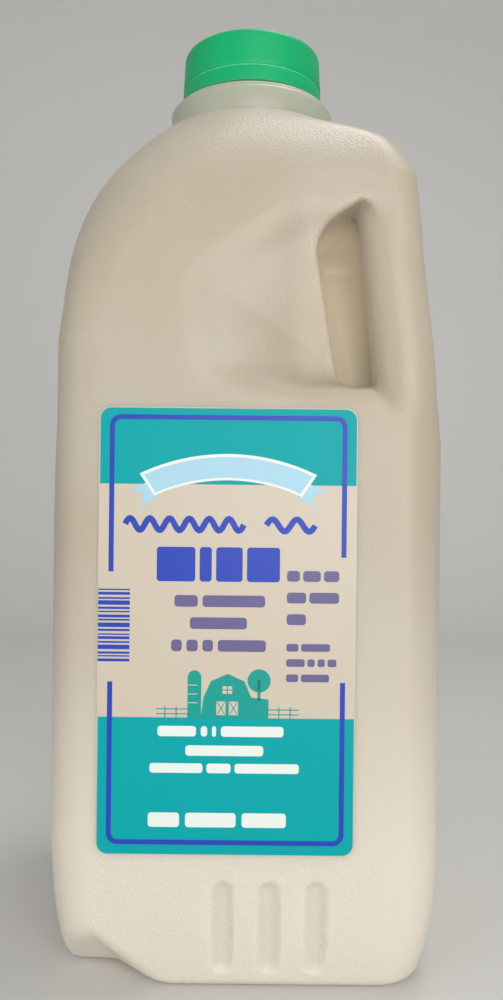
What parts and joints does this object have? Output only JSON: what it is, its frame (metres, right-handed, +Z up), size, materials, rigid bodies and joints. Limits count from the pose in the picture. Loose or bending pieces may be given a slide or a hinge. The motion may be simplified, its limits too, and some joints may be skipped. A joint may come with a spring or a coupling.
{
  "type": "milk jug",
  "caption": "Square translucent plastic milk jug with a corner handle, screw cap with tamper band, front label, and milk inside.",
  "frame": {"origin": "middle of the square body on the surface it stands on", "axes": "+Z up along the bottle, +X towards the handle corner, so the plane Y = 0 is the parting plane and the labelled front panel faces +X-Y"},
  "size_m": [0.1341, 0.1326, 0.2584],
  "materials": {
    "jug_plastic": "translucent natural polyethylene with a fine pebbled skin",
    "cap_plastic": "satin green polyethylene",
    "label_film": "printed film, teal and pale fields with blue lines",
    "milk": "opaque white milk"
  },
  "bodies": {
    "root": {"jug": "jug_plastic", "cap": "cap_plastic", "label": "label_film", "milk": "milk"}
  },
  "joints": []
}
